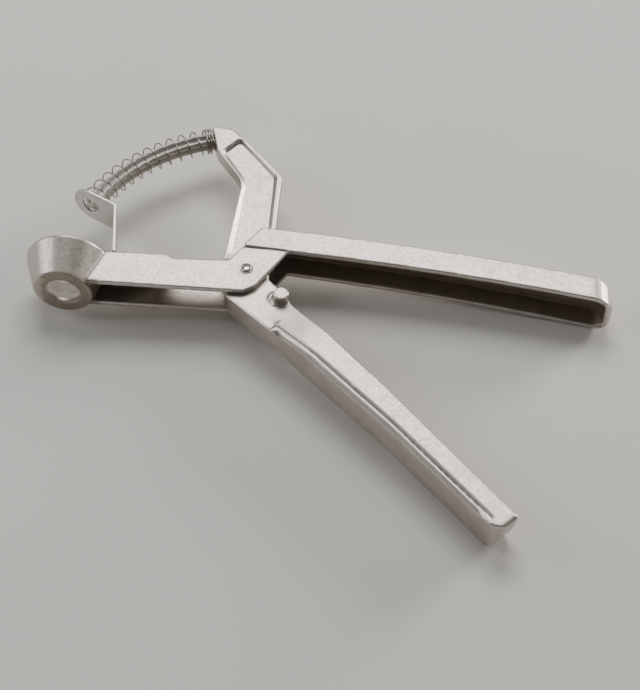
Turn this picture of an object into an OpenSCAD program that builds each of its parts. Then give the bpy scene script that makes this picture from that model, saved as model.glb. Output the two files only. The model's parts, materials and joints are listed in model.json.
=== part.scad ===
// Olive pitter: pliers of cast aluminium, about 200 mm long, lying on one side.
// A lever swings a curved plunger through a guide plate and into a holed cup.
// All lengths are in millimetres and all angles in degrees.
// Shapes are drawn about the pivot, with the tool's middle plane at z = 0,
// and are then moved into the part's frame, where z = 0 is the table.

/* [Frame] */
// Pivot, from the middle of the tool's footprint, along X
pivot_x = -24.21; // [-30:0.01:-18]
// Pivot, from the middle of the tool's footprint, along Y
pivot_y = 16.69; // [12:0.01:24]

/* [Mechanism] */
// Radius of the plunger's arc about the pivot
arc_r = 63.6; // [62.5:0.1:64.2]
// Angle from +X to the end face of the lever's arm
arm_angle = 103.2; // [101:0.1:105]
// Angle from +X to the middle of the guide plate's eye
eye_angle = 151; // [150:0.1:152]
// Angle from +X to the hole in the cup's outer face
exit_angle = 187; // [186:0.1:188]

/* [Cup] */
// Lean of the cup's axis away from -Y
cup_lean = 3; // [1:0.1:4]
// Lean of the cup's holed end face away from square to -Y
face_tilt = 8; // [6.5:0.1:9.5]
// Distance of the holed end's middle inside the plunger's arc
cup_inset = 1; // [0.5:0.1:1.3]
// Length of the cup along its axis
cup_length = 13.8; // [12.5:0.1:15]
// Radius of the cup's outside at its mouth
cup_mouth_r = 14.5; // [14:0.1:15]
// Radius of the cup's outside at its holed end
cup_exit_r = 10.2; // [9.8:0.1:11]
// Wall of the cup at its mouth
cup_wall = 1.9; // [1.4:0.1:2.4]
// Radius of the hole that the pit leaves by
pit_hole_r = 5.9; // [5:0.1:6.4]
// Thickness of the holed end
cup_floor = 2.4; // [1.8:0.1:3]
// Radius of the seat just above the holed end
seat_r = 8.2; // [7.6:0.1:8.6]
// Height of the seat above the holed end
seat_height = 3.2; // [2.4:0.1:4]
// Chamfer on the cup's rims
cup_edge = 0.6; // [0.3:0.1:0.9]

/* [Beam and cheeks] */
// Half the thickness of the beam and the cheeks
beam_half = 6.75; // [6.5:0.05:7]
// Half the gap between the two cheeks
cheek_gap_half = 4.65; // [4.55:0.05:4.9]
// Height of the beam's closed back above the pivot, at the cup
beam_back = 5.7; // [5:0.1:6.2]
// Drop from the closed back to the open stretch beside it
back_step = 1.6; // [1:0.1:2]
// Distance from the pivot at which the closed back ends
back_end = 26; // [25:0.1:29]
// Thickness of the closed back
back_wall = 2.2; // [1.8:0.1:2.6]
// Depth of the beam's open edge below the pivot, at the cup
front_cup = 7.4; // [7:0.1:7.8]
// Depth of the beam's open edge below the pivot, at the cheeks
front_cheek = 9.4; // [9:0.1:9.8]
// Radius of the outside corners of the cheeks
cheek_corner_r = 3; // [1.5:0.1:4]

/* [Pivot pin] */
// Radius of the pivot pin
pin_r = 1.7; // [1.5:0.05:1.9]
// Running clearance round the pin
pin_gap = 0.05; // [0.02:0.01:0.08]
// Height of each domed end above the cheek's face
pin_dome = 0.35; // [0.2:0.05:0.6]
// Width of the countersink round each domed end
pin_sink = 0.25; // [0.15:0.05:0.5]

/* [Fixed handle] */
// Distance from the pivot to the end of the fixed handle, along X
fixed_length = 124.6; // [118:0.1:130]
// Height of the handle's back above the pivot, at the pivot
fixed_back = 18.5; // [18.0:0.1:19.0]
// Slope of the handle's back at the pivot
fixed_slope = 5.6; // [5.2:0.1:6.0]
// Radius of the handle's bow
fixed_bow_r = 1034; // [974:10:1094]
// Depth of the handle from its back to its open edge
fixed_depth = 9.3; // [8.7:0.1:9.7]
// Half the handle's thickness beside the pivot
fixed_half_start = 7.25; // [7.1:0.05:7.6]
// Half the handle's thickness at its end
fixed_half_end = 8.8; // [8.2:0.1:9]
// Gap between the lever's arm at rest and the handle's back wall that stops it
rest_gap = 0.3; // [0.2:0.05:0.5]
// Distance from the pivot at which the handle's open edge starts
fixed_start = 13.8; // [13.4:0.1:15]
// Wall of the handle's channel
fixed_wall = 2.1; // [1.7:0.1:2.3]
// Radius of the handle's rounded end, seen from the side
fixed_end_r = 7.2; // [5:0.1:7.8]
// Radius of the corners of the handle's end, seen from above
fixed_corner_r = 1.5; // [0.8:0.1:2]
// Amount that the back of the handle's end is set in
fixed_end_lean = 1.2; // [0.6:0.1:2]

/* [Lever arm] */
// Half the thickness of the lever's hub plate
hub_half = 4.35; // [4.2:0.05:4.4]
// Half the thickness of the lever's arm
arm_half = 3.25; // [3:0.05:3.5]
// Reach of the end face inside the plunger's arc
face_inner = 6.2; // [5.6:0.1:6.8]
// Reach of the end face outside the plunger's arc
face_outer = 4.9; // [4.4:0.1:5.4]
// Thickness left in the middle of the arm between its two pockets
arm_web = 3.1; // [2.6:0.1:3.6]
// Distance from the pivot at which the pockets end
pocket_start = 6; // [5:0.1:9]
// Radius of the outside corners of the arm
arm_corner_r = 5; // [3:0.1:6]
// Radius of the arm's bend on its inner side
arm_knee_r = 10; // [7:0.5:12]
// Width of the rim between the arm's outline and its pockets
rim = 1.9; // [1.5:0.1:2.2]

/* [Boss] */
// Radius of the round stop boss
boss_r = 3; // [2.6:0.1:3.2]
// Distance of the boss from the pivot, along the moving handle
boss_along = 16.1; // [15.8:0.1:17]
// Distance of the boss from the handle's axis line
boss_aside = 1.7; // [1.2:0.1:2]
// Height of the boss's top above the middle plane
boss_top = 8.1; // [7.6:0.1:8.6]
// Amount that the boss is smaller at its top than at its base
boss_draft = 0.3; // [0.1:0.1:0.5]
// Depth of the flat on the boss's side
boss_flat = 0.6; // [0.3:0.1:0.9]
// Height of the foot that the boss stands on
boss_foot = 0.6; // [0.3:0.1:0.9]

/* [Moving handle] */
// Angle from +X down to the moving handle at rest
moving_angle = 47.85; // [47:0.05:49]
// Length of the moving handle from the pivot
moving_length = 132.2; // [127:0.1:137]
// Distance from the handle's axis line to its inner, open edge
moving_inner = 2.8; // [2.5:0.1:3.2]
// Outward bulge of the open edge in the handle's middle
moving_belly = 0.8; // [0.4:0.1:1.2]
// Distance from the handle's axis line to its back
moving_back = 6.2; // [5.8:0.1:6.6]
// Distance from the axis line to the back of the handle where it starts
moving_back_start = 8.7; // [8.2:0.1:9.2]
// Distance from the axis line to the back corner of the hub plate
plate_back = 11.7; // [11:0.1:12.2]
// Narrowing of the hub plate towards the handle
plate_taper = 1.9; // [1.4:0.1:2.2]
// Distance from the pivot at which the back becomes parallel
back_bend = 83; // [76:0.5:90]
// Distance from the pivot at which the hub plate starts to thicken
ramp_start = 14; // [13:0.1:15]
// Distance from the pivot at which the handle has its full thickness
ramp_end = 42; // [38:0.1:44]
// Half the handle's thickness after the ramp
moving_half_start = 8; // [7.6:0.1:8.2]
// Half the handle's thickness at its end
moving_half_end = 8.3; // [8.2:0.1:8.6]
// Wall of the handle's channel
moving_wall = 2; // [1.7:0.1:2.4]
// Radius of the handle's end at its flat side, seen from the side
moving_end_r = 1.4; // [1:0.1:2.4]
// The same radius on the handle's underside
moving_under_r = 7; // [5:0.1:7.4]
// Amount that the end leans back towards the underside
moving_end_lean = 4.2; // [3:0.1:5]
// Radius of the corners of the handle's end, seen from above
moving_corner_r = 1.8; // [1.2:0.1:2.6]
// Drop of the ledge along the back, below the handle's flat side
ledge_drop = 1.3; // [0.9:0.1:1.6]
// Distance from the axis line to the ledge, on the parallel stretch
ledge_line = 3.8; // [3.4:0.1:4.2]
// Distance from the axis line to the ledge where it starts
ledge_line_start = 6.4; // [5.8:0.1:6.8]
// Distance from the pivot at which the ledge starts
ledge_start = 23; // [22.5:0.1:24]
// Distance between the ledge's end and the handle's end
ledge_end_gap = 5; // [4:0.1:6]

/* [Plunger] */
// Radius across the plunger's four ribs
plunger_r = 2.9; // [2.7:0.05:3]
// Thickness of each rib
rib = 1.9; // [1.6:0.1:2.2]
// Angle of the ribs about the plunger's own axis
rib_turn = 45; // [0:1:90]
// Height that the plunger's tip stands past the guide plate; negative is below its face
tip_proud = -0.2; // [-0.4:0.05:0.6]
// Depth of the plunger's shank in the arm
shank_depth = 4.2; // [3.6:0.1:4.6]
// Clearance round the shank in its socket
socket_gap = 0.04; // [0.02:0.01:0.08]

/* [Return spring] */
// Diameter of the spring's wire
wire_d = 0.5; // [0.4:0.05:0.55]
// Radius of the coil, to the middle of the wire
coil_r = 4.4; // [4.1:0.05:4.6]
// Outward bow of the coil off the plunger's arc
coil_bow = 0.3; // [0:0.05:0.5]
// Number of turns in the whole spring
turns = 14; // [12:1:15]
// Number of close turns beside the arm
close_turns = 2.5; // [2:0.5:3]
// Rise of one close turn
close_pitch = 1.05; // [1.05:0.01:1.2]
// Gap between each end of the spring, or of the plate's leg, and its seat
seat_gap = 0.05; // [0.02:0.01:0.1]

/* [Guide plate] */
// Radius of the plate's rounded end, and half the plate's width
eye_outer_r = 7; // [6.8:0.1:7.2]
// Clearance round the plunger in the eye
eye_gap = 0.3; // [0.2:0.05:0.5]
// Thickness of the sheet
sheet = 1; // [0.8:0.05:1.2]
// Distance from the pivot to the leg's foot, along X
leg_foot = 45.6; // [45:0.1:46.2]
// Lean of the leg towards the cup
leg_lean = 3.2; // [2.4:0.1:4]
// Inside radius of the bend
bend_r = 0.6; // [0.4:0.1:1]
// Half the width of the tab that passes through the beam's back
tab_half = 3.4; // [3:0.1:4]
// Length of the tab inside the beam
tab_reach = 1.2; // [0.8:0.1:1.6]
// Clearance round the tab in its slot
tab_gap = 0.05; // [0.02:0.01:0.1]

/* [Hidden] */
cast_colour = "#c9c5be";
steel_colour = "#b4b2ae";
spring_colour = "#8d8579";
corner_steps = 6;
corner_min = 0.3;
over = 1;
far = 60;

// The tool rests on the rim of the cup's mouth.
pivot_z = cup_mouth_r;

function polar(r, a) = r * [cos(a), sin(a)];
function unit(v) = v / norm(v);
function mix(a, b, t) = a + (b - a) * t;
function smooth(t) = t * t * (3 - 2 * t);

// One corner of an outline as an arc of radius r.
function corner(before, at, after, r) =
    let (u = unit(before - at), v = unit(after - at), half = acos(u * v) / 2)
    let (centre = at + unit(u + v) * r / sin(half), run = r / tan(half))
    let (start = unit(at + u * run - centre), end = unit(at + v * run - centre))
    [for (i = [0 : corner_steps]) centre + r * unit(mix(start, end, i / corner_steps))];

// An outline of [x, y, radius] corners as points; radius 0 is a sharp corner.
function rounded(path) =
    let (n = len(path), p = [for (c = path) [c[0], c[1]]])
    [for (i = [0 : n - 1]) each path[i][2] == 0 ? [p[i]]
        : corner(p[(i + n - 1) % n], p[i], p[(i + 1) % n], path[i][2])];

function mirrored(points) =
    concat(points, [for (i = [len(points) - 1 : -1 : 0]) [points[i].x, -points[i].y]]);

// ---- cup ----------------------------------------------------------------

exit_centre = polar(arc_r - cup_inset, exit_angle);

module from_exit(lean) {
    translate([exit_centre.x, exit_centre.y, 0])
        rotate([0, 0, 90 - lean])
            rotate([0, 90, 0])
                children();
}

// The cone runs on past the holed end, and the face is cut off square to the pit's hole.
module cup_outside() {
    taper = (cup_mouth_r - cup_exit_r) / cup_length;
    difference() {
        from_exit(cup_lean)
            rotate_extrude($fn = 96)
                polygon([
                    [0, -cup_floor],
                    [cup_exit_r - taper * cup_floor, -cup_floor],
                    [cup_mouth_r, cup_length - cup_edge],
                    [cup_mouth_r - cup_edge, cup_length],
                    [0, cup_length]
                ]);
        from_exit(face_tilt)
            translate([0, 0, -far / 2])
                cube(far, center = true);
    }
}

module cup_inside() {
    seat_top = cup_floor + seat_height;
    hole_step = 0.6;
    bowl_r = cup_mouth_r - cup_wall;
    from_exit(cup_lean)
        rotate_extrude($fn = 96)
            polygon([
                [0, cup_floor],
                [pit_hole_r + hole_step, cup_floor],
                [seat_r, seat_top],
                [mix(seat_r, bowl_r, 0.3), seat_top],
                [bowl_r, cup_length],
                [bowl_r, cup_length + over],
                [0, cup_length + over]
            ]);
    from_exit(face_tilt)
        translate([0, 0, -over])
            cylinder(r = pit_hole_r, h = cup_floor + 2 * over, $fn = 96);
}

// Shoulder between the cup's cone and the beam's flat sides, as a loft of two sections.
shoulder_rise = 0.9;
shoulder_slope = 33;
shoulder_sink = 0.1;
shoulder_root = 2;

function cone_r(height) = mix(cup_exit_r, cup_mouth_r, height / cup_length);

// Out of the cone a little above the beam's flat side, and down into that side.
function shoulder_curve(r) =
    let (leave_z = beam_half + shoulder_rise, leave_x = sqrt(r * r - leave_z * leave_z))
    [
        [leave_x - shoulder_root, leave_z - shoulder_sink],
        [leave_x, leave_z],
        [leave_x + (shoulder_rise + shoulder_sink) / tan(shoulder_slope), beam_half - shoulder_sink]
    ];

module cup_shoulder() {
    low_y = 2 * cup_edge;
    high_y = cup_length - cup_edge;
    low = mirrored(shoulder_curve(cone_r(low_y)));
    high = mirrored(shoulder_curve(cone_r(high_y)));
    n = len(low);
    strip = [0 : n / 2 - 2];
    translate([exit_centre.x, exit_centre.y, 0])
        rotate([0, 0, -cup_lean])
            polyhedron(
                points = concat([for (p = low) [p.x, low_y, p.y]], [for (p = high) [p.x, high_y, p.y]]),
                faces = concat(
                    [for (i = strip) [i, i + 1, n - 2 - i]],
                    [for (i = strip) [i, n - 2 - i, n - 1 - i]],
                    [for (i = strip) [n + i, 2 * n - 2 - i, n + i + 1]],
                    [for (i = strip) [n + i, 2 * n - 1 - i, 2 * n - 2 - i]],
                    [for (i = [0 : n - 1]) [i, n + i, (i + 1) % n]],
                    [for (i = [0 : n - 1]) [(i + 1) % n, n + i, n + (i + 1) % n]]
                )
            );
}

// ---- body ---------------------------------------------------------------

beam_start = 56;
open_back = beam_back - back_step;
back_slope = 0.4;
cheek_top = [4.6, fixed_back_y(4.6)];
cheek_top_r = 0.6;
cheek_left = 6.4;
cheek_low = [-0.8, -front_cheek];
diag_low = [3.2, -7.2];
diag_high = [13.4, 7];

function fixed_back_y(x) = fixed_back - x * tan(fixed_slope) - x * x / (2 * fixed_bow_r);

// The beam and both cheeks as one plate.
module beam_outside() {
    translate([0, 0, -beam_half])
        linear_extrude(height = 2 * beam_half)
            polygon(rounded([
                [-beam_start, beam_back, 0],
                [-back_end - back_step, beam_back - back_slope, 1],
                [-back_end + back_step / 2, open_back - back_slope, 1],
                [-cheek_left, open_back - back_slope, 1.5],
                [cheek_top.x, cheek_top.y, cheek_top_r],
                [fixed_start + over, fixed_back_y(fixed_start) - over, 0],
                [fixed_start + over, fixed_back_y(fixed_start) - fixed_depth + over, 0],
                [diag_high.x, diag_high.y, 0],
                [diag_low.x, diag_low.y, cheek_corner_r],
                [cheek_low.x, cheek_low.y, cheek_corner_r],
                [-beam_start, -front_cup, 0]
            ]));
}

// Channel under the closed back, and from its end on the whole gap between the cheeks.
module beam_channel() {
    translate([0, 0, -cheek_gap_half])
        linear_extrude(height = 2 * cheek_gap_half)
            polygon([
                [-beam_start - over, -far],
                [-beam_start - over, beam_back - back_wall],
                [-back_end, beam_back - back_slope - back_wall],
                [-back_end, far],
                [far, far],
                [far, -far]
            ]);
}

// The fixed handle seen from above, shrunk by inset on its back and end.
function fixed_plan(inset, open_drop) =
    let (x_end = fixed_length - inset, bow_steps = 10)
    let (xs = [for (i = [0 : bow_steps]) mix(cheek_top.x + 3, x_end - fixed_end_r, i / bow_steps)])
    concat(
        [for (x = xs) [x, fixed_back_y(x) - inset, 0]],
        [[x_end - fixed_end_lean, fixed_back_y(x_end) - inset, 4 * fixed_corner_r]],
        [[x_end, fixed_back_y(x_end) - fixed_depth - open_drop, open_drop > 0 ? 0 : fixed_corner_r]],
        [for (i = [bow_steps : -1 : 0]) let (x = mix(fixed_start, x_end - fixed_end_r, i / bow_steps))
            [x, fixed_back_y(x) - fixed_depth - open_drop, 0]]
    );

module fixed_outside() {
    root_rise = 2.1;
    intersection() {
        translate([0, 0, -far / 2])
            linear_extrude(height = far)
                polygon(rounded(concat(
                    fixed_plan(0, 0),
                    [[-root_rise, fixed_back_y(fixed_start) - fixed_depth + root_rise, 1]],
                    [[cheek_top.x, cheek_top.y, cheek_top_r]]
                )));
        rotate([90, 0, 0])
            translate([0, 0, -far / 2])
                linear_extrude(height = far)
                    polygon(rounded([
                        [-far / 4, fixed_half_start, 0],
                        [fixed_start, fixed_half_start, 0],
                        [fixed_length, fixed_half_end, fixed_end_r],
                        [fixed_length, -fixed_half_end, fixed_end_r],
                        [fixed_start, -fixed_half_start, 0],
                        [-far / 4, -fixed_half_start, 0]
                    ]));
    }
}

// Channel of the fixed handle, open towards the moving one.
web_start = 9.3;

module fixed_channel() {
    intersection() {
        translate([0, 0, -far / 2])
            linear_extrude(height = far)
                polygon(rounded(concat(
                    fixed_plan(fixed_wall, far / 4),
                    [[web_start, fixed_back_y(fixed_start) - fixed_depth - far / 4, 0]],
                    [[web_start, fixed_back_y(web_start) - fixed_wall, 0]]
                )));
        rotate([90, 0, 0])
            translate([0, 0, -far / 2])
                linear_extrude(height = far)
                    polygon(rounded([
                        [web_start, fixed_half_start - fixed_wall, 0],
                        [fixed_length - fixed_wall, fixed_half_end - fixed_wall, fixed_end_r - fixed_wall],
                        [fixed_length - fixed_wall, fixed_wall - fixed_half_end, fixed_end_r - fixed_wall],
                        [web_start, fixed_wall - fixed_half_start, 0]
                    ]));
    }
}

// Gap between the cheeks that the lever's hub and arm swing in.
function arm_edge_x(y) = mix(arm_root_right.x, arm_shoulder.x,
    (y - arm_root_right.y) / (arm_shoulder.y - arm_root_right.y));

module cheek_gap() {
    wall_low = fixed_back_y(web_start) - fixed_wall;
    translate([0, 0, -cheek_gap_half])
        linear_extrude(height = 2 * cheek_gap_half)
            polygon([
                [-back_end, far / 2],
                [-back_end, -far / 2],
                [web_start + over, -far / 2],
                [web_start + over, wall_low],
                [arm_edge_x(wall_low) + rest_gap, wall_low],
                [arm_edge_x(far / 2) + rest_gap, far / 2]
            ]);
}

module pin_hole() {
    hole_r = pin_r + pin_gap;
    cylinder(r = hole_r, h = far, center = true, $fn = 48);
    for (side = [0, 1])
        mirror([0, 0, side])
            translate([0, 0, beam_half - pin_sink])
                cylinder(r1 = hole_r, r2 = hole_r + 2 * pin_sink, h = 2 * pin_sink, $fn = 48);
}

module body_casting() color(cast_colour) in_frame() {
    difference() {
        union() {
            cup_outside();
            difference() {
                union() {
                    cup_shoulder();
                    beam_outside();
                }
                beam_channel();
            }
            difference() {
                fixed_outside();
                cheek_gap();
            }
        }
        cup_inside();
        fixed_channel();
        pin_hole();
        tab_slot();
    }
}

// ---- lever --------------------------------------------------------------

face_low = polar(arc_r - face_inner, arm_angle);
face_high = polar(arc_r + face_outer, arm_angle);
arm_knee = [-3.3, 41.8];
arm_shoulder = [10.5, 45.2];
arm_crown = [-7.9, 65.8];
hub_left = [-8.9, 1];
pocket_left = [-9.8, 55.2];
pocket_top = [-5, 60.4];
arm_root_right = [7.6, -1.6];
hub_top = 4;
hub_top_right = 7.5;
hub_top_left = 8.4;

// The arm's outline is drawn from the pivot; the hub's from the moving handle's frame.
module arm_outside() {
    translate([0, 0, -arm_half])
        linear_extrude(height = 2 * arm_half)
            polygon(rounded([
                [face_low.x, face_low.y, 0.8],
                [face_high.x, face_high.y, 0.8],
                [arm_crown.x, arm_crown.y, arm_corner_r],
                [arm_shoulder.x, arm_shoulder.y, arm_corner_r],
                [arm_root_right.x, arm_root_right.y, 0],
                [hub_left.x, hub_left.y, 0],
                [arm_knee.x, arm_knee.y, arm_knee_r]
            ]));
}

module arm_pocket() {
    depth = arm_half - arm_web / 2;
    side_rim = 1.5 * rim;
    knee_rim = 0.8 * rim;
    pocket_foot_r = 1.5;
    for (side = [0, 1])
        mirror([0, 0, side])
            translate([0, 0, arm_half - depth])
                linear_extrude(height = depth + over)
                    polygon(rounded([
                        [pocket_left.x, pocket_left.y, 1],
                        [pocket_top.x, pocket_top.y, 1],
                        [arm_shoulder.x - side_rim, arm_shoulder.y - rim / 3, arm_corner_r - rim / 2],
                        [arm_root_right.x - rim, pocket_start, pocket_foot_r],
                        [hub_left.x + side_rim, pocket_start, pocket_foot_r],
                        [arm_knee.x + knee_rim, arm_knee.y + rim / 3, arm_knee_r - rim]
                    ]));
}

// The moving handle and hub plate seen from above, in the handle's own frame.
module moving_plan() {
    tip = 3.8;
    waist = 12.5;
    neck = waist + 7;
    polygon(rounded([
        [tip, -plate_back, 0.8],
        [ledge_start, plate_taper - plate_back, 1],
        [ledge_start + 6, -moving_back_start, 12],
        [back_bend, -moving_back, 60],
        [moving_length, -moving_back, 3 * moving_corner_r],
        [moving_length, moving_inner, moving_corner_r],
        [moving_length / 2, moving_inner + moving_belly, 200],
        [neck, moving_inner + 0.3, 6],
        [waist, hub_inner, 4],
        [waist / 2, hub_inner, 0],
        in_handle_corner(arm_root_right),
        in_handle_corner([hub_top_right, hub_top]),
        in_handle_corner([-hub_top_left, hub_top]),
        in_handle_corner(hub_left)
    ]));
}

hub_inner = 4.2;

function to_handle(p) = [
    p.x * cos(moving_angle) - p.y * sin(moving_angle),
    p.x * sin(moving_angle) + p.y * cos(moving_angle)
];
function in_handle_corner(p) = let (q = to_handle(p)) [q.x, q.y, 0];

// Half the lever's thickness along the moving handle: plate, ramp, handle.
function ramp_points(inset) =
    let (steps = 8)
    [for (i = [0 : steps]) let (t = i / steps)
        [mix(ramp_start, ramp_end, t), mix(hub_half, moving_half_start, smooth(t)) - inset, 0]];

module moving_side(inset) {
    half = concat([[-far / 2, hub_half - inset, 0]], ramp_points(inset));
    end_x = moving_length - inset;
    end_z = moving_half_end - inset;
    polygon(rounded(concat(
        half,
        [[end_x, end_z, max(moving_end_r - inset, corner_min)]],
        [[end_x - moving_end_lean, -end_z, moving_under_r - inset]],
        [for (i = [len(half) - 1 : -1 : 0]) [half[i].x, -half[i].y, 0]]
    )));
}

module moving_outside() {
    intersection() {
        translate([0, 0, -far / 2])
            linear_extrude(height = far)
                moving_plan();
        rotate([90, 0, 0])
            translate([0, 0, -far / 2])
                linear_extrude(height = far)
                    moving_side(0);
    }
}

// Channel of the moving handle, open towards the fixed one.
module moving_channel() {
    channel_start = ledge_start + 8;
    intersection() {
        translate([0, 0, -far / 2])
            linear_extrude(height = far)
                polygon(rounded([
                    [channel_start, far / 2, 0],
                    [channel_start, moving_wall - moving_back_start, 1],
                    [back_bend, -moving_back + moving_wall, 60],
                    [moving_length - moving_wall, -moving_back + moving_wall, 1],
                    [moving_length - moving_wall, far / 2, 0]
                ]));
        rotate([90, 0, 0])
            translate([0, 0, -far / 2])
                linear_extrude(height = far)
                    moving_side(moving_wall);
    }
}

// Ledge along each side of the handle's back, at one depth below the ramp and the flat.
module back_ledge() {
    ledge_end = moving_length - ledge_end_gap;
    difference() {
        translate([0, 0, -far / 2])
            linear_extrude(height = far)
                polygon(rounded([
                    [ledge_start, -ledge_line_start, 0.8],
                    [ledge_start, -plate_back - over, 0],
                    [ledge_end, -plate_back - over, 0],
                    [ledge_end, -ledge_line, 0.8],
                    [back_bend - 3, -ledge_line, 60]
                ]));
        rotate([90, 0, 0])
            translate([0, 0, -far / 2])
                linear_extrude(height = far)
                    moving_side(ledge_drop);
    }
}

// Flat corner of the hub plate, which the ramp and the ledge stand above.
module plate_corner() {
    lip = 0.5;
    ramp_foot_x = ledge_start - lip;
    cut = 1.1;
    for (side = [0, 1])
        mirror([0, 0, side])
            translate([0, 0, hub_half])
                linear_extrude(height = far)
                    polygon([
                        [0, -plate_back - over],
                        [ramp_foot_x, -plate_back - over],
                        [ramp_foot_x, -ledge_line_start - cut],
                        [ramp_foot_x - cut, -ledge_line_start],
                        [0, -boss_r]
                    ]);
}

module boss() {
    difference() {
        translate([boss_along, boss_aside, 0])
            cylinder(r1 = boss_r, r2 = boss_r - boss_draft, h = boss_top, $fn = 48);
        translate([boss_along - boss_r, boss_aside - far / 2, hub_half + boss_foot])
            cube([boss_flat, far, far]);
    }
    translate([boss_along - boss_r / 3, boss_aside - boss_r / 3, 0])
        cylinder(r = boss_r, h = hub_half + boss_foot, $fn = 48);
}

module plunger_socket() {
    rotate([0, 0, arm_angle - degrees_on_arc(shank_depth)])
        rotate_extrude(angle = degrees_on_arc(shank_depth + over), $fn = 180)
            translate([arc_r, 0])
                circle(r = plunger_r + socket_gap, $fn = 48);
}

module lever_casting() color(cast_colour) in_frame() {
    difference() {
        union() {
            difference() {
                arm_outside();
                arm_pocket();
            }
            rotate([0, 0, -moving_angle])
                difference() {
                    union() {
                        difference() {
                            moving_outside();
                            plate_corner();
                        }
                        boss();
                    }
                    moving_channel();
                    back_ledge();
                }
        }
        cylinder(r = pin_r + pin_gap, h = far, center = true, $fn = 48);
        plunger_socket();
    }
}

// ---- pivot pin ----------------------------------------------------------

module pivot_pin() color(steel_colour) in_frame() {
    dome_r = (pin_r * pin_r + pin_dome * pin_dome) / (2 * pin_dome);
    for (side = [0, 1])
        mirror([0, 0, side])
            intersection() {
                cylinder(r = pin_r, h = beam_half + pin_dome, $fn = 48);
                translate([0, 0, beam_half + pin_dome - dome_r])
                    sphere(r = dome_r, $fn = 96);
            }
}

// ---- plunger ------------------------------------------------------------

function degrees_on_arc(length) = length / arc_r * 180 / PI;

plunger_start = arm_angle - degrees_on_arc(shank_depth);
plunger_tip = eye_angle + degrees_on_arc(sheet / 2 + tip_proud);

module plunger_section(r) {
    rotate(rib_turn)
        intersection() {
            circle(r = r, $fn = 48);
            union() {
                square([2 * r + over, rib], center = true);
                square([rib, 2 * r + over], center = true);
            }
        }
}

module plunger() color(steel_colour) in_frame() {
    rotate([0, 0, plunger_start])
        rotate_extrude(angle = plunger_tip - plunger_start, $fn = 180)
            translate([arc_r, 0])
                plunger_section(plunger_r);
}

// ---- return spring ------------------------------------------------------

rings_per_turn = 8;
wire_sides = 6;
spring_start = arm_angle + degrees_on_arc(seat_gap);
spring_end = eye_angle - degrees_on_arc(sheet / 2 + seat_gap);
lead = degrees_on_arc(wire_d);
coil_start = spring_start + lead;
coil_end = spring_end - lead;
close_rise = degrees_on_arc(close_pitch);
open_rise = (coil_end - coil_start - close_turns * close_rise) / (turns - close_turns);

// Angle about the pivot after a number of turns.
function coil_angle(turn) = coil_start + min(turn, close_turns) * close_rise
    + max(turn - close_turns, 0) * open_rise;

function on_coil(angle, turn) =
    let (r = arc_r + coil_bow - coil_r * cos(360 * turn))
    [r * cos(angle), r * sin(angle), coil_r * sin(360 * turn)];

coil_rings = turns * rings_per_turn;
spring_path = concat(
    [on_coil(spring_start, 0)],
    [for (i = [0 : coil_rings]) on_coil(coil_angle(i / rings_per_turn), i / rings_per_turn)],
    [on_coil(spring_end, turns)]
);

// Least gap between stretches of the wire that lie more than half a turn apart.
path_end = len(spring_path) - 1;
wire_gap = min([for (i = [0 : path_end], j = [i + rings_per_turn / 2 + 1 : 1 : path_end])
    if (j - i < 2 * rings_per_turn) norm(spring_path[i] - spring_path[j])]) - wire_d;
echo(least_gap_of_spring_to_itself = wire_gap);

function path_dir(i) = unit(spring_path[min(i + 1, path_end)] - spring_path[max(i - 1, 0)]);

function wire_ring(i) =
    let (t = path_dir(i), p = spring_path[i])
    let (hub = unit([p.x, p.y, 0]) * (arc_r + coil_bow), out = unit(p - hub))
    let (side = unit(cross(t, out)), up = cross(side, t))
    [for (k = [0 : wire_sides - 1]) let (a = 360 * k / wire_sides)
        p + wire_d / 2 * (up * cos(a) + side * sin(a))];

module tube(rings) {
    n = len(rings[0]);
    last = (len(rings) - 1) * n;
    polyhedron(
        points = [for (ring = rings) each ring],
        faces = concat(
            [for (k = [1 : n - 2]) [0, k, k + 1]],
            [for (k = [1 : n - 2]) [last, last + k + 1, last + k]],
            [for (i = [0 : len(rings) - 2], k = [0 : n - 1]) let (m = (k + 1) % n)
                each [[i * n + k, (i + 1) * n + k, i * n + m], [i * n + m, (i + 1) * n + k, (i + 1) * n + m]]]
        )
    );
}

module return_spring() color(spring_colour) in_frame() {
    tube([for (i = [0 : path_end]) wire_ring(i)]);
}

// ---- guide plate --------------------------------------------------------

back_at_leg = mix(beam_back, beam_back - back_slope,
    (beam_start - leg_foot) / (beam_start - back_end - back_step));
foot = [-leg_foot, back_at_leg + 2 * seat_gap];

// Where the plate's middle line meets the leg's, seen from above.
knee_r = (leg_foot - foot.y * tan(leg_lean)) / (-cos(eye_angle) - sin(eye_angle) * tan(leg_lean));
knee = polar(knee_r, eye_angle);

module along_leg() {
    translate([foot.x, foot.y, 0])
        rotate([0, 0, leg_lean])
            children();
}

// The bent strip seen from above, from its rounded end to the foot.
module strip_profile() {
    to_eye = polar(1, eye_angle);
    to_foot = unit(foot - knee);
    inward = unit(to_eye + to_foot);
    corner_reach = sheet / 2 / sin(acos(to_eye * to_foot) / 2);
    eye_side = unit(inward - to_eye * (inward * to_eye)) * sheet / 2;
    foot_side = unit(inward - to_foot * (inward * to_foot)) * sheet / 2;
    eye_end = polar(arc_r + eye_outer_r, eye_angle);
    path = [
        [eye_end + eye_side, 0],
        [knee + inward * corner_reach, bend_r],
        [foot + foot_side, 0],
        [foot - foot_side, 0],
        [knee - inward * corner_reach, bend_r + sheet],
        [eye_end - eye_side, 0]
    ];
    polygon(rounded([for (c = path) [c[0].x, c[0].y, c[1]]]));
}

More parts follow.
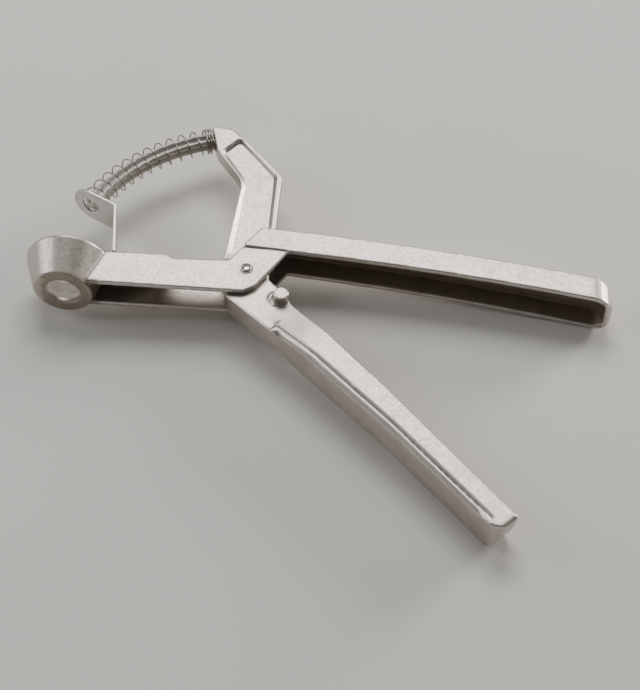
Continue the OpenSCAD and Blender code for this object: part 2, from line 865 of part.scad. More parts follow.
module guide_plate() color(steel_colour) in_frame() {
    difference() {
        union() {
            translate([0, 0, -eye_outer_r])
                linear_extrude(height = 2 * eye_outer_r)
                    strip_profile();
            along_leg()
                translate([-sheet / 2, -back_wall - tab_reach, -tab_half])
                    cube([sheet, back_wall + tab_reach + over / 2, 2 * tab_half]);
        }
        in_eye_plane()
            cylinder(r = plunger_r + eye_gap, h = 4 * sheet, center = true, $fn = 48);
        end_corners();
    }
}

// What the strip loses at its rounded end.
module end_corners() {
    in_eye_plane()
        linear_extrude(height = 4 * sheet, center = true)
            difference() {
                translate([0, -eye_outer_r - over])
                    square([eye_outer_r + 2 * over, 2 * (eye_outer_r + over)]);
                circle(r = eye_outer_r, $fn = 96);
            }
}

// X points away from the pivot and Z along the plunger's path.
module in_eye_plane() {
    rotate([0, 0, eye_angle])
        translate([arc_r, 0, 0])
            rotate([90, 0, 0])
                children();
}

module tab_slot() {
    along_leg()
        translate([-sheet / 2 - tab_gap, -back_wall - over, -tab_half - tab_gap])
            cube([sheet + 2 * tab_gap, back_wall + 2 * over, 2 * (tab_half + tab_gap)]);
}

module in_frame() {
    translate([pivot_x, pivot_y, pivot_z])
        children();
}

body_casting();
lever_casting();
pivot_pin();
plunger();
return_spring();
guide_plate();
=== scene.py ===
import json
import math

import bmesh
import bpy
import numpy as np
from mathutils import Matrix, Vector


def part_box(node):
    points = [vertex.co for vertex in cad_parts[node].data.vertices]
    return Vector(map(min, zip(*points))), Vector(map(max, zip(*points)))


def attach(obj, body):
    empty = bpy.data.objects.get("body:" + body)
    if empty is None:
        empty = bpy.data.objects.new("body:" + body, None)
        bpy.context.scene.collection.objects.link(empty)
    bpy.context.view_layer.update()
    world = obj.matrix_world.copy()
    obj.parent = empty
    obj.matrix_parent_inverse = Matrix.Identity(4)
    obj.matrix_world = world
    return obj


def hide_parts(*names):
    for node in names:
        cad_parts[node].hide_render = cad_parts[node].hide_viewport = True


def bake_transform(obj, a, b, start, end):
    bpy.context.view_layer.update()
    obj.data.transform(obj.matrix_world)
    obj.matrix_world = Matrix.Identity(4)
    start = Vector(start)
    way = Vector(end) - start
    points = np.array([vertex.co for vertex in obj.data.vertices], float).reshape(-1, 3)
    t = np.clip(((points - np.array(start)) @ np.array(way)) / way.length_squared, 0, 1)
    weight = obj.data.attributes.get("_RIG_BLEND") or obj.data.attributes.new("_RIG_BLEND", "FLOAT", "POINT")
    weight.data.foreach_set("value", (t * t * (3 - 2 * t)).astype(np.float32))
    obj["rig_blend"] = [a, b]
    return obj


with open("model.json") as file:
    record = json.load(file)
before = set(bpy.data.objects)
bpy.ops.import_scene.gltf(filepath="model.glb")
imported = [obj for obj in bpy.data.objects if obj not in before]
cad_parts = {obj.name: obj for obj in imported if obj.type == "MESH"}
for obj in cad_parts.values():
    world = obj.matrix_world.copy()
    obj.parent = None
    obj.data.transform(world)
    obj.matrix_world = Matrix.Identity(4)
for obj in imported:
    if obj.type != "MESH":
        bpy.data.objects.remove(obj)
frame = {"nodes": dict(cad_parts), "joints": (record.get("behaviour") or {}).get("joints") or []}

bl_info = {
    "name": "Olive pitter",
    "version": (1, 0, 0),
    "blender": (4, 5, 0),
    "location": "3D View > Sidebar > Olive pitter",
    "description": "Builds a cast olive pitter with its plunger, spring, guide plate and pin",
    "category": "Object",
}

MM = 0.001
HINGE = frame["joints"][0]
PIVOT = np.array(HINGE["pos_m"], float)
TRAVEL = HINGE["range_deg"][1]
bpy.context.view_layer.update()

# ---- sizes in millimetres and degrees about the pivot ---------------------

# The plunger's arc: its radius, and the angles at which the arm and the guide plate's eye lie on it.
ARC_R = 63.6
ARM_ANGLE = 103.2
EYE_ANGLE = 151.0
SHEET = 1.0

# The fixed handle's back: y = start - slope x - x^2 / (2 bow).
FIXED_BACK = 18.5
FIXED_SLOPE = 0.0981
FIXED_BOW_R = 1034
# Half the width of its channel at the pivot, and how fast it widens.
CHANNEL_HALF = 5.3
CHANNEL_FLARE = 0.0125
WALL = 1.8

# The moving handle, along it from the pivot: half the thickness at the hub plate, past the ramp and at the end.
MOVING_ANGLE = 47.85
PLATE_HALF = 4.35
HANDLE_HALF = 8.0
END_HALF_MORE = 0.3
RAMP_START, RAMP_END = 14, 42
END_X = 132

# The ledge on the moving handle's back. Each line is (places along the handle, distances out from its axis).
LEDGE_START, LEDGE_END = 23.4, 127.8
LEDGE_LINE = ((23, 80, 127.2), (6.4, 3.8, 3.8))
BACK_LINE = ((29, 83, 132), (8.7, 6.2, 6.2))
LEDGE_DROP = ((23, 46), (0.25, 0.6))
LEDGE_FLAT = 0.75
LEDGE_FALL = 2.3

# Corners of the pocket in the lever's arm as (x, y, radius), and the line down its middle as (y, x).
POCKET = ((-9.8, 55.2, 1.0), (-5.0, 60.4, 1.0), (7.65, 44.6, 4.0),
          (5.7, 6.0, 1.5), (-6.05, 6.0, 1.5), (-1.8, 42.4, 8.1))
POCKET_MIDDLE = ((6, 43, 57.8), (-0.2, 3, -7.4))
WEB_HALF = 1.55
# The slope round the pocket: how far it rises, and its width on one side and what the other side has more.
SLOPE_RISE = 1.75
SLOPE_WIDTH = 0.8
SLOPE_WIDER = 1.4

# The line of the hub plate's raised rim, and of the groove where the fixed handle stands above the cheek.
RIM_LINE = ((4.2, 22.6), (11.5, 9.45))
ROOT_LINE = ((-1.3, 4.2, 9, 13.3), (9.5, 8.96, 8.56, 8.0))

# The picture: its focal length and scale, its middle, and the point where the pivot's top stands, in pixels.
FOCAL = 2310.0
PIXELS_PER_MM = 2.933
PICTURE_WIDTH = 640
PICTURE_MIDDLE = (320, 345)
PIVOT_PIXEL = (246.5, 268.0)


# ---- properties ---------------------------------------------------------


def distance(name, description, default):
    return bpy.props.FloatProperty(name=name, description=description, default=default,
                                   unit="LENGTH", subtype="DISTANCE", precision=5)


def colour(name, description, default):
    return bpy.props.FloatVectorProperty(name=name, description=description, default=default,
                                         size=4, min=0.0, max=1.0, subtype="COLOR")


def factor(name, description, default):
    return bpy.props.FloatProperty(name=name, description=description, default=default,
                                   min=0.0, max=1.0, subtype="FACTOR")


class PitterCastings(bpy.types.PropertyGroup):
    voxel: distance("Detail", "Size of the cells that the castings' skins are made of", 0.00024)
    metal: colour("Metal", "Colour of the cast aluminium", (0.585, 0.53, 0.485, 1.0))
    roughness: factor("Roughness", "Roughness of the tumbled skin", 0.40)
    grain: factor("Grain", "Depth of the cast grain", 0.22)


class PitterSteel(bpy.types.PropertyGroup):
    sheet: colour("Sheet", "Colour of the guide plate", (0.62, 0.60, 0.57, 1.0))
    rod: colour("Rod", "Colour of the plunger", (0.56, 0.525, 0.49, 1.0))
    wire: colour("Wire", "Colour of the spring wire", (0.30, 0.26, 0.21, 1.0))
    wire_radius: distance("Wire radius", "Radius of the spring wire", 0.00025)
    coil_radius: distance("Coil radius", "Radius of the spring's coil", 0.0044)


class PitterStage(bpy.types.PropertyGroup):
    floor: colour("Floor", "Colour of the floor", (0.80, 0.775, 0.735, 1.0))
    key: bpy.props.FloatProperty(name="Light", description="Strength of the lamps together",
                                 default=1.0, min=0.0)


# ---- sums ---------------------------------------------------------------


def unit(vectors):
    return vectors / np.linalg.norm(vectors, axis=-1, keepdims=True)


def smooth(t):
    """A smooth step from 0 to 1: 3 t^2 - 2 t^3."""
    t = np.clip(t, 0, 1)
    return t * t * (3 - 2 * t)


def bell(away, width):
    return np.exp(-(away / width) ** 2)


def within(values, low, high):
    return (values > low) & (values < high)


def degrees_on_arc(length):
    return math.degrees(length / ARC_R)


def arc(centre, radius, start, end, steps):
    """Points on a circle between two angles: centre + radius (cos a, sin a)."""
    a = np.linspace(start, end, steps)
    return np.asarray(centre) + radius * np.stack([np.cos(a), np.sin(a)], -1)


# ---- meshes -------------------------------------------------------------


def link(name, mesh):
    piece = bpy.data.objects.new(name, mesh)
    bpy.context.scene.collection.objects.link(piece)
    return piece


def grid_faces(rows, columns, close_columns=False):
    """Quads of a grid of points, counted row by row; the columns may close on themselves."""
    r, c = np.meshgrid(np.arange(rows - 1), np.arange(columns if close_columns else columns - 1), indexing="ij")
    here, across = r * columns + c, r * columns + (c + 1) % columns
    return np.stack([here, across, across + columns, here + columns], -1).reshape(-1, 4)


def mesh_from(name, points, quads, caps=()):
    """A mesh of quads and a few end faces, smooth all over."""
    mesh = bpy.data.meshes.new(name)
    faces = [list(quad) for quad in quads] + [list(cap) for cap in caps]
    mesh.from_pydata(np.asarray(points, float).tolist(), [], faces)
    mesh.shade_smooth()
    mesh.validate()
    return mesh


def face_out(mesh):
    bm = bmesh.new()
    bm.from_mesh(mesh)
    bmesh.ops.remove_doubles(bm, verts=bm.verts, dist=1e-7)
    bmesh.ops.recalc_face_normals(bm, faces=bm.faces)
    bm.to_mesh(mesh)
    bm.free()


def revolve(name, profile, steps=64):
    """A profile of (radius, height) turned about Z through the pivot, in millimetres: x = r cos t, y = r sin t."""
    t = np.linspace(0, 2 * math.pi, steps, endpoint=False)
    r, z = profile[:, 0][:, None], profile[:, 1][:, None]
    points = np.stack([r * np.cos(t), r * np.sin(t), z + 0 * t], -1).reshape(-1, 3)
    mesh = mesh_from(name, PIVOT + points * MM, grid_faces(len(profile), steps, close_columns=True))
    face_out(mesh)
    return mesh


def neighbours(mesh):
    edges = np.empty(len(mesh.edges) * 2, np.int64)
    mesh.edges.foreach_get("vertices", edges)
    return edges.reshape(-1, 2)


def mean_of_neighbours(values, edges, count):
    """For each point, the mean of a value over the points that share an edge with it."""
    values = values.reshape(len(values), -1)
    total = np.zeros_like(values)
    for k in range(values.shape[1]):
        total[:, k] = (np.bincount(edges[:, 0], values[edges[:, 1], k], count)
                       + np.bincount(edges[:, 1], values[edges[:, 0], k], count))
    degree = np.bincount(edges.ravel(), minlength=count).astype(float)
    return total / np.maximum(degree, 1)[:, None]


def spread_out(values, edges, times):
    for _ in range(times):
        values = 0.5 * values + 0.5 * mean_of_neighbours(values, edges, len(values))[:, 0]
    return values


def points_of(mesh):
    co = np.empty(len(mesh.vertices) * 3, np.float32)
    mesh.vertices.foreach_get("co", co)
    return co.reshape(-1, 3).astype(float)


def set_points(mesh, points):
    mesh.vertices.foreach_set("co", points.astype(np.float32).ravel())
    mesh.update()


def normals_of(mesh):
    no = np.empty(len(mesh.vertices) * 3, np.float32)
    mesh.vertex_normals.foreach_get("vector", no)
    return no.reshape(-1, 3).astype(float)


def store(mesh, name, values):
    layer = mesh.attributes.get(name) or mesh.attributes.new(name, "FLOAT", "POINT")
    layer.data.foreach_set("value", values.astype(np.float32))


def mark_edges(mesh, spread=3, gain=16):
    """Stores how sharply the skin bends at each point: above 0.5 on outside edges, below 0.5 in inside corners. The
    material wears the outside edges and paints shade into the inside corners.
    """
    edges = neighbours(mesh)
    points, normals = points_of(mesh), normals_of(mesh)
    bend = -((mean_of_neighbours(points, edges, len(points)) - points) * normals).sum(1) / MM
    store(mesh, "bend", np.clip(0.5 + gain * spread_out(bend, edges, spread), 0, 1))


def mark_plain(mesh):
    """Stores an even bend, so that the material wears no edge and paints no shade into corners."""
    store(mesh, "bend", np.full(len(mesh.vertices), 0.5))


def in_millimetres(node):
    """A copy of a CAD node's mesh with its points merged, in millimetres."""
    mesh = frame["nodes"][node].data.copy()
    bm = bmesh.new()
    bm.from_mesh(mesh)
    bmesh.ops.remove_doubles(bm, verts=bm.verts, dist=1e-6)
    bmesh.ops.scale(bm, vec=(1 / MM,) * 3, verts=bm.verts)
    bm.to_mesh(mesh)
    bm.free()
    return mesh


def baked(piece):
    """The piece's mesh with its modifiers applied, put in the place of its own."""
    evaluated = piece.evaluated_get(bpy.context.evaluated_depsgraph_get())
    mesh = bpy.data.meshes.new_from_object(evaluated)
    piece.modifiers.clear()
    piece.data = mesh
    return mesh


def skin(node, name, voxel, passes, shape=None, most=185000):
    """The CAD node's own shape as one even skin of cells, whose corners are rounded as a mould rounds them.
    Each pass moves every point part of the way to the mean of its neighbours. The shape function, if any,
    is given the points about the pivot in millimetres before the passes, and again after them."""
    source = in_millimetres(node)
    piece = link(name, source)
    cells = piece.modifiers.new("cells", "REMESH")
    cells.mode = "VOXEL"
    cells.voxel_size = voxel / MM
    cells.adaptivity = 0.0
    mesh = baked(piece)
    bpy.data.meshes.remove(source)
    edges = neighbours(mesh)
    middle = PIVOT / MM
    points = points_of(mesh) - middle
    if shape:
        points = shape(points, False)
    for _ in range(passes):
        points += 0.6 * (mean_of_neighbours(points, edges, len(points)) - points)
    if shape:
        points = shape(points, True)
    set_points(mesh, (points + middle) * MM)
    mark_edges(mesh)
    # The inside attribute masks the painted shade in the channels and on the cup's face.
    store(mesh, "inside", spread_out(channel_and_face_shade(points, node), edges, 4))
    fewer = piece.modifiers.new("fewer", "DECIMATE")
    fewer.ratio = min(1.0, most / (2.0 * len(mesh.polygons)))
    mesh = baked(piece)
    mesh.name = name
    mesh.materials.clear()
    mesh.shade_smooth()
    return piece


# ---- shapes of the castings, in millimetres about the pivot ---------------


def rounded(corners, steps=6):
    """An outline of (x, y, radius) corners, each turned into points of the circle that touches both its sides."""
    corners = np.asarray(corners, float)
    at, r = corners[:, :2], corners[:, 2:]
    u, v = unit(np.roll(at, 1, 0) - at), unit(np.roll(at, -1, 0) - at)
    half = np.arccos((u * v).sum(1, keepdims=True)) / 2
    centre = at + unit(u + v) * r / np.sin(half)
    start, end = at + u * r / np.tan(half) - centre, at + v * r / np.tan(half) - centre
    ray = start[:, None] + (end - start)[:, None] * np.linspace(0, 1, steps)[:, None]
    return (centre[:, None] + r[:, None] * unit(ray)).reshape(-1, 2)


def outline_distance(points, corners):
    """Distance in plan from a closed outline, negative inside it."""
    along = np.roll(corners, -1, 0) - corners
    p = points[:, None, :2]
    t = np.clip(((p - corners) * along).sum(-1) / (along ** 2).sum(-1), 0, 1)
    away = np.linalg.norm(p - (corners + t[..., None] * along), axis=-1).min(1)
    above = corners[:, 1] > p[..., 1]
    rise = np.where(along[:, 1] == 0, 1e-9, along[:, 1])
    crossing = corners[:, 0] + (p[..., 1] - corners[:, 1]) * along[:, 0] / rise
    crosses = (above != np.roll(above, -1, 1)) & (p[..., 0] < crossing)
    return np.where(crosses.sum(1) % 2 == 1, -away, away)


def along_handle(points):
    """Points in the moving handle's own frame: x along it from the pivot, y towards its open edge."""
    c, s = math.cos(math.radians(MOVING_ANGLE)), math.sin(math.radians(MOVING_ANGLE))
    return points[:, 0] * c - points[:, 1] * s, points[:, 0] * s + points[:, 1] * c


def handle_half(x):
    """Half the lever's thickness: hub plate, ramp, handle."""
    ramp = PLATE_HALF + (HANDLE_HALF - PLATE_HALF) * smooth((x - RAMP_START) / (RAMP_END - RAMP_START))
    handle = HANDLE_HALF + END_HALF_MORE * (x - RAMP_END) / (END_X - RAMP_END)
    return np.where(x < RAMP_END, ramp, handle)


def sloped_pocket(points, height):
    """Lowers the rim next to the arm's pocket to a slope that rises from the web by a smooth step. It is wider on the
    side towards the cup, and fades to the narrow one at the pocket's upper end."""
    x, y = points[:, 0], points[:, 1]
    near = within(y, 4, 63) & (np.abs(x) < 14)
    x, y = x[near], y[near]
    away = outline_distance(points[near], rounded(POCKET))
    upper_end, fade, bulge = 57, 4, 0.8
    wide = (x < np.interp(y, *POCKET_MIDDLE)) * smooth((upper_end - y) / fade)
    limit = WEB_HALF + SLOPE_RISE * smooth(away / (SLOPE_WIDTH + SLOPE_WIDER * wide)) ** bulge
    height = height.copy()
    height[near] = np.where(away > -0.2, np.minimum(height[near], limit), height[near])
    return height


def faded_ramp(x, y, height, outer=-8.8, fade=5.5):
    """Lets the handle's ramp fade out across the hub plate, towards the plate's outer side."""
    on = within(x, 10, 23.2) & within(y, -9.4, -2) & (height > 4.0)
    return np.where(on, PLATE_HALF + (handle_half(x) - PLATE_HALF) * smooth((y - outer) / fade), height)


def crowned_ledge(x, y, height, blend_in=4, last=121, blend_out=6):
    """Rounds the ledge: its top is flat beside the groove and then falls by a quarter of an ellipse to the back.
    The fall grows over the ledge's first millimetres, and the top rises to the handle's own over the last ones."""
    half, inner = handle_half(x), np.interp(x, *LEDGE_LINE)
    out = -y - inner
    across = (out - LEDGE_FLAT) / (np.interp(x, *BACK_LINE) - inner - LEDGE_FLAT)
    fall = np.clip(across, 0, 1) * smooth((x - LEDGE_START) / blend_in)
    crown = half - np.interp(x, *LEDGE_DROP) - LEDGE_FALL * (1 - np.sqrt(1 - fall ** 2))
    crown = crown + (half - crown) * smooth((x - last) / blend_out)
    top = height > np.minimum(half - 1.7, crown)
    on = within(x, LEDGE_START, LEDGE_END) & (out > 0.1)
    return np.where(on & top, crown, height)


def ledge_groove(x, y, height, deep=0.26, width=0.55, last=126):
    """Depth of the soft groove along the ledge's inner edge, faded at both ends."""
    out = -y - np.interp(x, *LEDGE_LINE)
    top = within(x, LEDGE_START, last + 0.6) & (height > handle_half(x) - 2.0)
    depth = deep * bell(out - 0.15, width) * smooth((last - x) / 6) * smooth((x - LEDGE_START) / 5)
    return np.where(top, depth, 0)


def plate_rim(x, y, height, rise=0.32, width=0.34):
    """Height of the raised rim along the hub plate's outer side."""
    top = within(x, 4.4, 22.4) & (height > 3.6)
    return np.where(top, rise * bell(-y - np.interp(x, *RIM_LINE), width), 0)


def lever_shape(points, smoothed):
    """First the pocket's sloping walls, the ramp and the rounded ledge; then the groove and the plate's rim."""
    points = points.copy()
    height, side = np.abs(points[:, 2]), np.sign(points[:, 2])
    x, y = along_handle(points)
    if smoothed:
        height = height - ledge_groove(x, y, height) + plate_rim(x, y, height)
    else:
        height = crowned_ledge(x, y, faded_ramp(x, y, sloped_pocket(points, height)))
    points[:, 2] = side * height
    return points


def body_shape(points, smoothed, deep=0.4, width=0.26):
    """The dark groove where the handle's root stands above the cheek."""
    if not smoothed:
        return points
    points = points.copy()
    top = within(points[:, 0], -2.2, 13.6) & (np.abs(points[:, 2]) > 6)
    away = points[:, 1] - np.interp(points[:, 0], *ROOT_LINE) + 0.1
    points[:, 2] -= np.sign(points[:, 2]) * np.where(top, deep * bell(away, width), 0)
    return points


def channel_and_face_shade(points, node):
    """One for the points that lie inside a casting's channels, a little less on the cup's face, zero elsewhere. It is
    the mask of the painted shade there, which also makes the skin rougher.
    """
    height = np.abs(points[:, 2])
    if node == "body_casting":
        x, y = points[:, 0], points[:, 1]
        back = FIXED_BACK - FIXED_SLOPE * x - x * x / (2 * FIXED_BOW_R)
        handle = within(x, 9, 121.6) & (y < back - WALL) & (height < CHANNEL_HALF + CHANNEL_FLARE * x)
        beam = within(x, -54, -26) & within(y, -7.2, 3.7) & (height < 4.75)
        # Painted shade on the cup's face, which faces down and away from the light.
        cup_face_shade = (x < -50) & (y < -6.6)
        return np.where(handle | beam, 1.0, np.where(cup_face_shade, 0.9, 0.0))
    if node == "lever_casting":
        x, y = along_handle(points)
        end = 127.2 + 0.25 * points[:, 2]
        floor = -4.6 - 2.4 * smooth((83 - x) / 54)
        return (within(x, 30, end) & (y > floor) & (height < handle_half(x) - WALL)).astype(float)
    return np.zeros(len(points))


# ---- shapes of the steel parts, in millimetres ----------------------------


def pin_profile(half, radius=1.7, dome=0.35):
    """The pin's outline as (radius, height): a dome, half - dome (r / R)^2.4, and under its edge a narrow neck that
    leaves a dark gap in the hole. The lower end mirrors the upper one."""
    across = np.linspace(0, 1, 12)
    edge = half - dome
    top = np.stack([(radius - 0.22) * across, half - dome * across ** 2.4], -1)
    top = np.vstack([top, [[radius - 0.14, edge - 0.4], [radius, edge - 0.5]]])
    side = np.stack([np.full(8, radius), np.linspace(edge - 0.5, -edge + 0.5, 8)], -1)[1:-1]
    return np.vstack([top, side, (top * [1, -1])[::-1]])


def rib_section(radius, rib, fillet):
    """The cross of two ribs as a closed line: a quarter, from a rib's rounded tip round its edge into the corner
    between two ribs, turned to its four places."""
    half = rib / 2
    tip = math.sqrt(radius ** 2 - (half - 0.15) ** 2)
    side = math.asin((half - fillet) / radius)
    quarter = np.vstack([
        arc((0, 0), radius, -side, side, 6),
        arc((tip - fillet, half - fillet), fillet, math.radians(25), math.pi / 2, 5),
        arc((half + fillet, half + fillet), fillet, 1.5 * math.pi, math.pi, 5),
        [[half, tip - fillet]],
    ])
    closed = np.vstack([quarter @ turn(k * math.pi / 2) for k in range(4)])
    gap = np.linalg.norm(np.roll(closed, -1, 0) - closed, axis=1)
    return closed[gap > 1e-4]


def turn(angle):
    """The matrix that turns rows of (x, y) by an angle."""
    c, s = math.cos(angle), math.sin(angle)
    return np.array([[c, s], [-s, c]])


def plunger_mesh(section, shank=4.2, proud=0.3, rings=160):
    """The section carried along the arc about the pivot, from inside the arm to just past the eye. It is turned by
    45 degrees, and shrinks over the last rings to round the tip."""
    first, last = ARM_ANGLE - degrees_on_arc(shank), EYE_ANGLE + degrees_on_arc(proud)
    t = np.radians(np.linspace(first, last, rings))[:, None]
    size = np.ones((rings, 1))
    size[-3:, 0] = 0.985, 0.95, 0.86
    turned = section @ turn(math.pi / 4)
    r, z = ARC_R + size * turned[:, 0], size * turned[:, 1]
    points = np.stack([r * np.cos(t), r * np.sin(t), z], -1).reshape(-1, 3)
    count = len(section)
    end = (rings - 1) * count
    mesh = mesh_from("plunger", PIVOT + points * MM, grid_faces(rings, count, close_columns=True),
                     [range(count), range(end, end + count)])
    face_out(mesh)
    return mesh


def spring_line(wire, coil, turns=14.0, close_turns=2.5, close_pitch=1.05, bow=0.3, seat=0.05, steps=40):
    """The middle of the spring's wire about the pivot, from the arm to the guide plate: with p the turn's angle,
    r = arc + bow - coil cos p and z = coil sin p, and the first turns are close. It gives the line, then for each
    of its points the share of the turns, the angle about the pivot and the point of the arc that it goes round."""
    first = ARM_ANGLE + degrees_on_arc(seat)
    last = EYE_ANGLE - degrees_on_arc(SHEET / 2) - degrees_on_arc(seat)
    lead = degrees_on_arc(2 * wire)
    start, end = first + lead, last - lead
    close = degrees_on_arc(close_pitch)
    opened = (end - start - close_turns * close) / (turns - close_turns)
    n = np.linspace(0, turns, int(turns * steps) + 1)
    angle = start + np.minimum(n, close_turns) * close + np.maximum(n - close_turns, 0) * opened
    n = np.concatenate([[0, 0], n, [turns, turns]])
    angle = np.concatenate([[first, first + lead / 2], angle, [last - lead / 2, last]])
    a, p = np.radians(angle), 2 * math.pi * n
    r = ARC_R + bow - coil * np.cos(p)
    line = np.stack([r * np.cos(a), r * np.sin(a), coil * np.sin(p)], -1)
    hubs = np.stack([np.cos(a), np.sin(a), 0 * a], -1) * (ARC_R + bow)
    return line, n / turns, angle, hubs


def tube_mesh(name, path, radius, sides, hubs):
    """A round tube along a path: each ring lies square to the path, and starts from the side away from its hub."""
    tangent = unit(np.gradient(path, axis=0))
    side = unit(np.cross(tangent, path - hubs))
    up = np.cross(side, tangent)
    t = np.linspace(0, 2 * math.pi, sides, endpoint=False)[None, :, None]
    ring = path[:, None] + radius * (up[:, None] * np.cos(t) + side[:, None] * np.sin(t))
    count = len(path)
    quads = grid_faces(count, sides, close_columns=True)[:, ::-1]
    return mesh_from(name, PIVOT + ring.reshape(-1, 3) * MM, quads,
                     [range(sides), range(count * sides - 1, (count - 1) * sides - 1, -1)])


# ---- materials ----------------------------------------------------------


def node_of(tree, kind, values=(), **settings):
    node = tree.nodes.new(kind)
    for key, value in settings.items():
        setattr(node, key, value)
    for key, value in dict(values).items():
        feed(tree, value, node.inputs[key])
    return node


def feed(tree, value, socket):
    """Links a value that comes from a node, and sets a plain one."""
    if isinstance(value, bpy.types.NodeSocket):
        tree.links.new(value, socket)
    else:
        socket.default_value = value


def noise(tree, place, scale, detail, roughness=0.5):
    values = {"Vector": place, "Scale": scale, "Detail": detail, "Roughness": roughness}
    return node_of(tree, "ShaderNodeTexNoise", values).outputs["Fac"]


def mapped(tree, value, start, end, low, high):
    """The value mapped from start and end to low and high, and held there."""
    values = {"Value": value, "From Min": start, "From Max": end, "To Min": low, "To Max": high}
    return node_of(tree, "ShaderNodeMapRange", values).outputs[0]


def worked_out(tree, operation, *values):
    return node_of(tree, "ShaderNodeMath", enumerate(values), operation=operation).outputs[0]


def mixed(tree, blend, share, base, tint):
    """Two colours mixed: the Mix node's colour sockets are its seventh and eighth, and its third outlet."""
    values = {"Factor": share, 6: base, 7: tint}
    return node_of(tree, "ShaderNodeMix", values, data_type="RGBA", blend_type=blend).outputs[2]


def group_named(name, inputs, outputs):
    tree = bpy.data.node_groups.new(name, "ShaderNodeTree")
    for label, kind, default in inputs:
        socket = tree.interface.new_socket(name=label, in_out="INPUT", socket_type=kind)
        if default is not None:
            socket.default_value = default
    for label, kind in outputs:
        tree.interface.new_socket(name=label, in_out="OUTPUT", socket_type=kind)
    return tree, tree.nodes.new("NodeGroupInput").outputs, tree.nodes.new("NodeGroupOutput").inputs


def metal_skin_group():
    """Grain, blotches, worn edges and painted shade of a metal skin. Colour is the metal with broad blotches,
    brighter on worn outside edges, with painted shade in corners, channels and on the cup's face. Roughness and
    Height vary with noise."""
    found = bpy.data.node_groups.get("metal_skin")
    if found:
        return found
    value, tint, vector = "NodeSocketFloat", "NodeSocketColor", "NodeSocketVector"
    tree, given, result = group_named("metal_skin", [
        ("Place", vector, None), ("Metal", tint, (0.7, 0.7, 0.7, 1)), ("Bend", value, 0.5), ("Inside", value, 0.0),
        ("Roughness", value, 0.4), ("Fine scale", value, 4000.0), ("Grain", value, 0.4), ("Wear", value, 0.5),
        ("Corner shade", value, 0.5)],
        [("Colour", tint), ("Roughness", value), ("Height", value)])
    fine = noise(tree, given["Place"], given["Fine scale"], 3.0, 0.6)
    blotches = noise(tree, given["Place"], 160.0, 4.0, 0.55)
    streaks = noise(tree, given["Place"], 900.0, 2.0)
    worn = worked_out(tree, "MULTIPLY", mapped(tree, given["Bend"], 0.56, 0.80, 0.0, 1.0), given["Wear"])
    shaded_corners = worked_out(tree, "MULTIPLY", mapped(tree, given["Bend"], 0.47, 0.25, 0.0, 1.0), given["Corner shade"])

    skin_colour = mixed(tree, "MULTIPLY", 1.0, given["Metal"], mapped(tree, blotches, 0.3, 0.7, 0.88, 1.06))
    skin_colour = mixed(tree, "SCREEN", worn, skin_colour, (0.5, 0.5, 0.5, 1))
    # Painted shade: the inside corners, where the bend is low, are darkened by their share.
    skin_colour = mixed(tree, "MULTIPLY", shaded_corners, skin_colour, (0.45, 0.41, 0.37, 1))
    # Painted shade: the channels and the cup's face are darkened by their mask. The same mask also makes the skin
    # rougher, as unpolished cast metal.
    skin_colour = mixed(tree, "MULTIPLY", given["Inside"], skin_colour, (0.62, 0.575, 0.53, 1))
    feed(tree, skin_colour, result["Colour"])

    roughness = worked_out(tree, "ADD", given["Roughness"], mapped(tree, streaks, 0.3, 0.7, -0.05, 0.07))
    polished = worked_out(tree, "MULTIPLY_ADD", worn, -0.10, roughness)
    feed(tree, worked_out(tree, "MULTIPLY_ADD", given["Inside"], 0.2, polished), result["Roughness"])
    feed(tree, worked_out(tree, "MULTIPLY", fine, given["Grain"]), result["Height"])
    return tree


def new_material(name):
    material = bpy.data.materials.new(name)
    material.use_nodes = True
    tree = material.node_tree
    return material, tree, tree.nodes["Principled BSDF"].inputs


def metal(name, base, roughness, grain, wear, corner_shade, fine_scale=2600.0, bump=0.00005):
    """A metal whose colour, roughness and bump come from the metal_skin group."""
    material, tree, shader = new_material(name)
    shader["Metallic"].default_value = 1.0
    group = node_of(tree, "ShaderNodeGroup", node_tree=metal_skin_group())
    for key, value in (
            ("Place", node_of(tree, "ShaderNodeTexCoord").outputs["Object"]),
            ("Bend", node_of(tree, "ShaderNodeAttribute", attribute_name="bend").outputs["Fac"]),
            ("Inside", node_of(tree, "ShaderNodeAttribute", attribute_name="inside").outputs["Fac"]),
            ("Metal", base), ("Roughness", roughness), ("Grain", grain), ("Wear", wear), ("Corner shade", corner_shade),
            ("Fine scale", fine_scale)):
        feed(tree, value, group.inputs[key])
    uneven = node_of(tree, "ShaderNodeBump", {"Strength": 1.0, "Distance": bump, "Height": group.outputs["Height"]})
    feed(tree, group.outputs["Colour"], shader["Base Color"])
    feed(tree, group.outputs["Roughness"], shader["Roughness"])
    feed(tree, uneven.outputs["Normal"], shader["Normal"])
    return material


def paper(tint):
    """The floor's matt paper, whose tint varies a little over the surface."""
    material, tree, shader = new_material("floor_paper")
    place = node_of(tree, "ShaderNodeTexCoord").outputs["Object"]
    darker = [c * 0.97 for c in tint[:3]] + [1]
    feed(tree, mixed(tree, "MIX", noise(tree, place, 25.0, 4.0), tint, darker), shader["Base Color"])
    shader["Roughness"].default_value = 0.75
    return material


def finish_piece(piece, material, body, slot, *nodes):
    piece.data.materials.append(material)
    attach(piece, body)
    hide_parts(*nodes)
    return piece


# ---- operators ----------------------------------------------------------


class PITTER_OT_castings(bpy.types.Operator):
    """Skins of the two castings: the body and the lever"""

    bl_idname = "pitter.castings"
    bl_label = "Castings"

    def execute(self, context):
        sizes = context.scene.pitter_castings
        # The last share darkens the inside corners with painted shade.
        material = metal("cast_aluminium", sizes.metal, sizes.roughness, sizes.grain, wear=0.7, corner_shade=0.7)
        for node, body, shape in (("body_casting", "body", body_shape), ("lever_casting", "lever", lever_shape)):
            piece = skin(node, node.replace("_", "-"), sizes.voxel, 12, shape)
            finish_piece(piece, material, body, "cast_aluminium", node)
        return {"FINISHED"}


